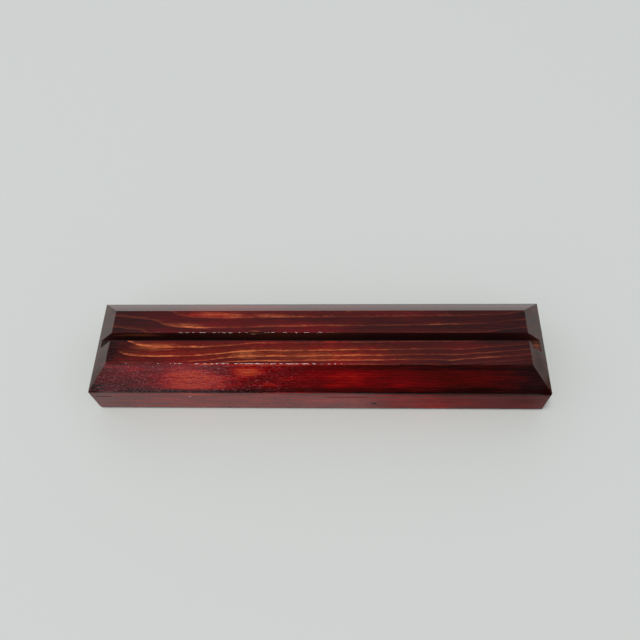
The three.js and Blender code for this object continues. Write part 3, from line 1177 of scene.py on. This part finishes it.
# How unevenly the adhesive spread, and the grain of that
FLOW_GRAIN = 2 * MM
FLOW_DEPTH = 0.35 * MM
# The rubber's cloth print and the adhesive's bubbles are drawn coarser than real ones, which are too
# fine to show: the print's pitch and depth and the bubbles' spacing in mm
THREAD_PITCH_MM = 0.7
THREAD_RELIEF_MM = 0.03
BUBBLE_SPACING_MM = 0.8


def add_disc(node, sides):
    """A plain disc in a CAD node's place."""
    low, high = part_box(node)
    deselect_all()
    bpy.ops.mesh.primitive_cylinder_add(
        vertices=sides, radius=(high.x - low.x) / 2, depth=high.z - low.z, location=(low + high) / 2)
    disc = bpy.context.active_object
    name_piece(disc, node + "_dressed")
    bpy.ops.object.transform_apply(location=True, rotation=False, scale=True)
    return disc


def select_level(piece, height):
    """In edit mode, selects just the edges that lie at this height."""
    select_edges(piece, lambda edge: all(abs(v.co.z - height) < LEVEL_TOLERANCE for v in edge.verts))


def copy_to_corner(piece, start_node, node, turn):
    """A copy of a piece with its own mesh, turned about its middle and moved to another node's place."""
    start = sum(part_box(start_node), Vector()) / 2
    end = sum(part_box(node), Vector()) / 2
    make_active(piece)
    bpy.ops.object.duplicate()
    copy = bpy.context.active_object
    name_piece(copy, node + "_dressed")
    bpy.ops.transform.rotate(value=math.radians(turn), orient_axis="Z", center_override=start)
    bpy.ops.transform.translate(value=end - start)
    bpy.ops.object.transform_apply(location=True, rotation=True, scale=True)
    return copy


def finish_corners(first, nodes, turns):
    """Copies a corner's piece to the other corners and puts all of them in the frame."""
    copies = [copy_to_corner(first, nodes[0], node, turn) for node, turn in zip(nodes[1:], turns)]
    for piece, node in zip([first] + copies, nodes):
        smooth_rims(piece)
        finish_piece(piece, node)


def die_cut_rubber(settings):
    """Black rubber sheet cut with a die: matte, with a fine cloth print and a bloom of grey dust."""
    material, tree, shader = new_material("die_cut_rubber")
    bloom, colour = mottle(tree, RUBBER_DUST, (0.35, settings.rubber), (0.75, settings.rubber_bloom))
    roughness = add_node(tree, "MapRange", {"Value": bloom, **limits((0.0, 1.0), (0.7, 0.95))})
    coordinates = add_node(tree, "TexCoord")
    threads = add_node(tree, "VectorMath", {
        0: coordinates.outputs["Object"], "Scale": math.tau / (THREAD_PITCH_MM * MM)}, operation="SCALE")
    print_waves = add_node(tree, "VectorMath", {0: threads}, operation="SINE")
    waves = add_node(tree, "SeparateXYZ", {0: print_waves}).outputs
    height = add_node(tree, "Math", {0: waves["X"], 1: waves["Y"]}, operation="MULTIPLY")
    relief = add_node(tree, "Bump", {"Height": height, "Strength": 1.0, "Distance": THREAD_RELIEF_MM * MM})
    set_inputs(shader, {"Base Color": colour, "Roughness": roughness, "Normal": relief})
    return material


def adhesive_film(settings):
    """Double-sided acrylic film: cream, slightly waxy, with trapped bubbles that show as paler spots."""
    material, tree, shader = new_material("acrylic_adhesive_film")
    coordinates = add_node(tree, "TexCoord")
    bubbles = add_node(tree, "TexVoronoi", {
        "Vector": coordinates.outputs["Object"], "Scale": 1 / (BUBBLE_SPACING_MM * MM)})
    colour = add_node(tree, "ValToRGB", {"Fac": bubbles.outputs["Distance"]}, stops=(
        (0.1, settings.adhesive_bubble), (0.5, settings.adhesive)))
    set_inputs(shader, {"Base Color": colour, "Roughness": 0.45, "IOR": 1.47})
    return material


class OBJECT_OT_display_base_feet(bpy.types.Operator):
    """Builds one die-cut rubber foot and copies it to the other corners"""

    bl_idname = "object.display_base_feet"
    bl_label = "Rubber feet"

    def execute(self, context):
        settings = context.scene.display_base.feet
        nodes = ["foot_" + corner for corner in CORNERS]
        low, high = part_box(nodes[0])
        foot = add_disc(nodes[0], settings.sides)
        with editing(foot):
            waist = low.z + settings.waist_height * (high.z - low.z)
            cut((0, 0, waist), (0, 0, 1))
            select_level(foot, waist)
            bpy.ops.transform.resize(
                value=(settings.waist, settings.waist, 1.0), center_override=(low + high) / 2)
            select_level(foot, low.z)
            bpy.ops.mesh.bevel(offset=settings.rim_radius, segments=4, profile=0.5)
            select_level(foot, high.z)
            bpy.ops.mesh.bevel(offset=settings.upper_rim_radius, segments=2, profile=0.5)
        foot.data.materials.append(die_cut_rubber(settings))
        finish_corners(foot, nodes, FOOT_TURNS)
        return {"FINISHED"}


class OBJECT_OT_display_base_adhesive(bpy.types.Operator):
    """Builds one adhesive disc with its uneven rim and copies it to the other corners"""

    bl_idname = "object.display_base_adhesive"
    bl_label = "Adhesive discs"

    def execute(self, context):
        settings = context.scene.display_base.feet
        nodes = ["foot_adhesive_" + corner for corner in CORNERS]
        middle = sum(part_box(nodes[0]), Vector()) / 2
        disc = add_disc(nodes[0], settings.sides)
        with editing(disc):
            cut(middle, (0, 0, 1))
            select_level(disc, middle.z)
            bpy.ops.transform.resize(
                value=(settings.squeeze, settings.squeeze, 1.0), center_override=middle)
        roughen(disc, "adhesive_flow", FLOW_GRAIN, FLOW_DEPTH, ("X", "Y"))
        disc.data.materials.append(adhesive_film(settings))
        finish_corners(disc, nodes, DISC_TURNS)
        return {"FINISHED"}


# The ceiling lamp faces straight down, a little to the left and in front of the base
LAMP_PLACE = (-1.3, -0.89, 8.0)
LAMP_SIZE = (1.96, 2.4)
# Between these heights of a direction the walls turn into the ceiling, and the room is brighter on the
# left than on the right
CEILING_STARTS = (0.5, 0.8)
SIDE_LIGHT = ((-1.0, 1.0), (1.2, 0.8))
# The dark flag's left, right and upper edges, each from where the room is clear to where it is dark:
# bearings from straight in front, and a direction's height
FLAG_LEFT = (math.radians(-13.5), math.radians(-10.5))
FLAG_RIGHT = (math.radians(36), math.radians(12))
FLAG_TOP = (0.72, 0.58)


class OBJECT_OT_display_base_stage(bpy.types.Operator):
    """Sets up the floor, the light and the camera"""

    bl_idname = "object.display_base_stage"
    bl_label = "Stage"

    def execute(self, context):
        settings = context.scene.display_base.stage
        scene = context.scene
        scene.view_settings.view_transform = "Standard"
        self.lay_floor(settings)
        self.light_room(scene, settings)
        self.hang_lamp(scene, settings)
        self.place_camera(scene)
        return {"FINISHED"}

    def lay_floor(self, settings):
        """A plain pale floor, painted and matte."""
        deselect_all()
        bpy.ops.mesh.primitive_plane_add(size=settings.floor_size)
        floor = bpy.context.active_object
        floor.name = "floor"
        material, _, shader = new_material("pale_floor_paint")
        set_inputs(shader, {"Base Color": settings.floor, "Roughness": 0.7, "Specular IOR Level": 0.2})
        floor.data.materials.append(material)

    def light_room(self, scene, settings):
        """Pale walls, a dimmer ceiling, and a dark flag low in front on the right, which keeps the
        front bevel's reflections down."""
        world = bpy.data.worlds.new("room")
        world.use_nodes = True
        scene.world = world
        tree = world.node_tree
        tree.nodes.clear()
        direction = add_node(tree, "TexCoord")
        axes = add_node(tree, "SeparateXYZ", {0: direction.outputs["Generated"]}).outputs
        level = add_node(tree, "MapRange", {
            "Value": axes["Z"], **limits(CEILING_STARTS, (settings.wall_level, settings.ceiling_level))},
            interpolation_type="SMOOTHSTEP")
        side = add_node(tree, "MapRange", {"Value": axes["X"], **limits(*SIDE_LIGHT)})
        open_room = add_node(tree, "Math", {0: level, 1: side}, operation="MULTIPLY")
        forward = add_node(tree, "Math", {0: axes["Y"], 1: -1.0}, operation="MULTIPLY")
        bearing = add_node(tree, "Math", {0: axes["X"], 1: forward}, operation="ARCTAN2")
        flag = 1.0
        for value, edge in ((bearing, FLAG_LEFT), (bearing, FLAG_RIGHT), (axes["Z"], FLAG_TOP)):
            darkness = add_node(tree, "MapRange", {"Value": value, **limits(edge)},
                                interpolation_type="SMOOTHSTEP")
            flag = add_node(tree, "Math", {0: darkness, 1: flag}, operation="MULTIPLY")
        lit = add_node(tree, "Mix", {"Factor": flag, "A": open_room, "B": settings.shade_level},
                       data_type="FLOAT")
        room = add_node(tree, "Background", {"Color": settings.room, "Strength": lit})
        backdrop = add_node(tree, "Background", {"Color": settings.backdrop, "Strength": 1.0})
        path = add_node(tree, "LightPath")
        seen = add_node(tree, "MixShader", {0: path.outputs["Is Camera Ray"], 1: room, 2: backdrop})
        add_node(tree, "OutputWorld", {"Surface": seen})

    def hang_lamp(self, scene, settings):
        """A flat ceiling lamp, bright enough for its face to show the radiance that is set."""
        light = bpy.data.lights.new("ceiling_lamp", "AREA")
        light.shape = "RECTANGLE"
        light.size, light.size_y = LAMP_SIZE
        light.energy = settings.lamp_radiance * math.pi * light.size * light.size_y
        lamp = bpy.data.objects.new("ceiling_lamp", light)
        lamp.location = LAMP_PLACE
        scene.collection.objects.link(lamp)

    def place_camera(self, scene):
        """A camera at the photograph's viewing angle."""
        back = Vector((
            math.sin(VIEW_AZIMUTH) * math.cos(VIEW_ELEVATION),
            -math.cos(VIEW_AZIMUTH) * math.cos(VIEW_ELEVATION),
            math.sin(VIEW_ELEVATION)))
        level_right = (-back).cross(Vector((0, 0, 1))).normalized()
        right = Matrix.Rotation(VIEW_ROLL, 3, back) @ level_right
        up = back.cross(right)
        lens = bpy.data.cameras.new("photo_camera")
        lens.sensor_width = SENSOR_MM
        lens.lens = SENSOR_MM * VIEW_FOCAL_PIXELS / IMAGE_PIXELS
        lens.clip_start = 0.01
        camera = bpy.data.objects.new("photo_camera", lens)
        axes = Matrix((right, up, back)).transposed()
        camera.matrix_world = Matrix.Translation(VIEW_TARGET + back * VIEW_DISTANCE) @ axes.to_4x4()
        scene.collection.objects.link(camera)
        scene.camera = camera


OPERATORS = (
    OBJECT_OT_display_base_top_board,
    OBJECT_OT_display_base_plinth_board,
    OBJECT_OT_display_base_glue_line,
    OBJECT_OT_display_base_feet,
    OBJECT_OT_display_base_adhesive,
    OBJECT_OT_display_base_stage,
)


class VIEW3D_PT_display_base(bpy.types.Panel):
    """Lists the display base's settings and the operators that build it"""

    bl_label = "Wooden display base"
    bl_idname = "VIEW3D_PT_display_base"
    bl_space_type = "VIEW_3D"
    bl_region_type = "UI"
    bl_category = "Display base"

    def draw(self, context):
        settings = context.scene.display_base
        for group in (settings.boards, settings.feet, settings.stage):
            box = self.layout.box()
            for name in group.__annotations__:
                box.prop(group, name)
        for operator in OPERATORS:
            self.layout.operator(operator.bl_idname)


SETTINGS = (BoardSettings, FootSettings, StageSettings, DisplayBaseSettings)
CLASSES = SETTINGS + OPERATORS + (VIEW3D_PT_display_base,)


def register():
    """Adds the settings, the operators and the panel to Blender."""
    for cls in CLASSES:
        bpy.utils.register_class(cls)
    bpy.types.Scene.display_base = PointerProperty(type=DisplayBaseSettings)


def unregister():
    """Takes all of them out again."""
    del bpy.types.Scene.display_base
    for cls in reversed(CLASSES):
        bpy.utils.unregister_class(cls)


def main():
    """Builds every piece and the stage."""
    register()
    bpy.ops.object.display_base_top_board()
    bpy.ops.object.display_base_plinth_board()
    bpy.ops.object.display_base_glue_line()
    bpy.ops.object.display_base_feet()
    bpy.ops.object.display_base_adhesive()
    bpy.ops.object.display_base_stage()


if __name__ == "__main__":
    main()
